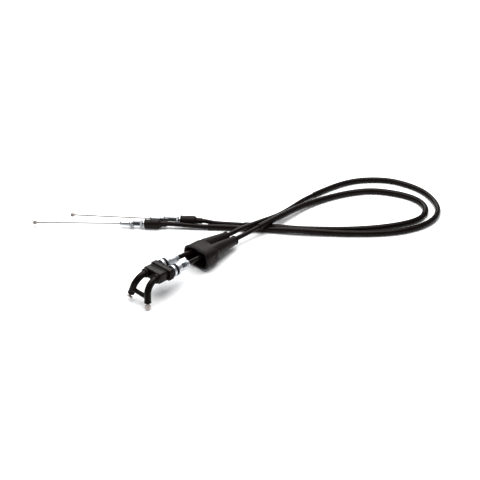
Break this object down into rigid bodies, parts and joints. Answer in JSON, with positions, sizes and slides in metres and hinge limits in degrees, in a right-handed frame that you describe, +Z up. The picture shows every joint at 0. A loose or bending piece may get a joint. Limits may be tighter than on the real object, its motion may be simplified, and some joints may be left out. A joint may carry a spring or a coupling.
{
  "type": "throttle cable set",
  "caption": "Push-pull throttle cable pair: twin-elbow grip guide with adjusters and boot, looped conduits, and threaded carburettor ends with nuts, boots and bare wires.",
  "frame": {"origin": "on the floor, below the middle of the grip-end head's box", "axes": "+X along the cables as they leave the guide block, +Y toward the pull cable, +Z up"},
  "size_m": [0.428, 0.3851, 0.0336],
  "materials": {
    "satin_rubber": "satin, fine grain",
    "moulded_black": "satin moulding",
    "conduit_black": "smooth satin vinyl",
    "zinc": "bright zinc plate",
    "wire_steel": "stranded wire"
  },
  "bodies": {
    "cable_set": {"elbow_pair": "moulded_black", "pull_block_half": "moulded_black", "pull_spigot": "zinc", "pull_o_ring": "satin_rubber", "pull_conduit": "conduit_black", "pull_nose_tube": "zinc", "pull_stud": "zinc", "pull_washer": "zinc", "pull_ferrule": "zinc", "push_block_half": "moulded_black", "push_spigot": "zinc", "push_o_ring": "satin_rubber", "push_conduit": "conduit_black", "push_nose_tube": "zinc", "push_stud": "zinc", "push_washer": "zinc", "push_ferrule": "zinc", "pull_loop_sleeve": "conduit_black", "push_grip_sleeve": "conduit_black", "push_carb_sleeve": "conduit_black"},
    "grip_boot": {"grip_boot": "satin_rubber"},
    "pull_barrel": {"pull_barrel": "zinc"},
    "pull_grip_end": {"pull_grip_wire": "wire_steel", "pull_grip_nipple": "zinc"},
    "pull_carb_end": {"pull_carb_wire": "wire_steel", "pull_carb_nipple": "zinc"},
    "pull_front_nut": {"pull_front_nut": "zinc"},
    "pull_rear_nut": {"pull_rear_nut": "zinc"},
    "pull_carb_boot": {"pull_carb_boot": "satin_rubber"},
    "push_barrel": {"push_barrel": "zinc"},
    "push_grip_end": {"push_grip_wire": "wire_steel", "push_grip_nipple": "zinc"},
    "push_carb_end": {"push_carb_wire": "wire_steel", "push_carb_nipple": "zinc"},
    "push_front_nut": {"push_front_nut": "zinc"},
    "push_rear_nut": {"push_rear_nut": "zinc"},
    "push_carb_boot": {"push_carb_boot": "satin_rubber"}
  },
  "joints": [
    {"name": "grip_boot_slide", "type": "slide", "parent": "cable_set", "child": "grip_boot", "axis": [-0.9854, 0, 0.1702], "range_m": [0, 0.047]},
    {"name": "pull_barrel_turn", "type": "hinge", "parent": "cable_set", "child": "pull_barrel", "pos_m": [0.02889, 0.0085, 0.02245], "axis": [0.9925, 0, -0.1219], "continuous": true},
    {"name": "pull_grip_wire_slide", "type": "slide", "parent": "cable_set", "child": "pull_grip_end", "axis": [-0.2726, 0.2222, -0.9361], "range_m": [0, 0.012]},
    {"name": "pull_carb_wire_slide", "type": "slide", "parent": "cable_set", "child": "pull_carb_end", "axis": [0.6402, -0.7682, 0], "range_m": [0, 0.012]},
    {"name": "pull_front_nut_turn", "type": "hinge", "parent": "cable_set", "child": "pull_front_nut", "pos_m": [0.06732, 0.12207, 0.0063], "axis": [0.6402, -0.7682, 0], "continuous": true},
    {"name": "pull_rear_nut_turn", "type": "hinge", "parent": "cable_set", "child": "pull_rear_nut", "pos_m": [0.07571, 0.112, 0.0063], "axis": [0.6402, -0.7682, 0], "continuous": true},
    {"name": "pull_carb_boot_slide", "type": "slide", "parent": "cable_set", "child": "pull_carb_boot", "axis": [-0.6402, 0.7682, 0], "range_m": [0, 0.012]},
    {"name": "push_barrel_turn", "type": "hinge", "parent": "cable_set", "child": "push_barrel", "pos_m": [0.02889, -0.0085, 0.02245], "axis": [0.9925, 0, -0.1219], "continuous": true},
    {"name": "push_grip_wire_slide", "type": "slide", "parent": "cable_set", "child": "push_grip_end", "axis": [-0.2726, -0.2222, -0.9361], "range_m": [0, 0.012]},
    {"name": "push_carb_wire_slide", "type": "slide", "parent": "cable_set", "child": "push_carb_end", "axis": [0.5881, -0.8088, 0], "range_m": [0, 0.012]},
    {"name": "push_front_nut_turn", "type": "hinge", "parent": "cable_set", "child": "push_front_nut", "pos_m": [0.10076, 0.09979, 0.0063], "axis": [0.5881, -0.8088, 0], "continuous": true},
    {"name": "push_rear_nut_turn", "type": "hinge", "parent": "cable_set", "child": "push_rear_nut", "pos_m": [0.11252, 0.08361, 0.0063], "axis": [0.5881, -0.8088, 0], "continuous": true},
    {"name": "push_carb_boot_slide", "type": "slide", "parent": "cable_set", "child": "push_carb_boot", "axis": [-0.5881, 0.8088, 0], "range_m": [0, 0.012]}
  ],
  "couplings": [
    {"joint": "pull_grip_wire_slide", "follows": "pull_carb_wire_slide", "ratio": 1},
    {"joint": "push_grip_wire_slide", "follows": "push_carb_wire_slide", "ratio": 1}
  ]
}
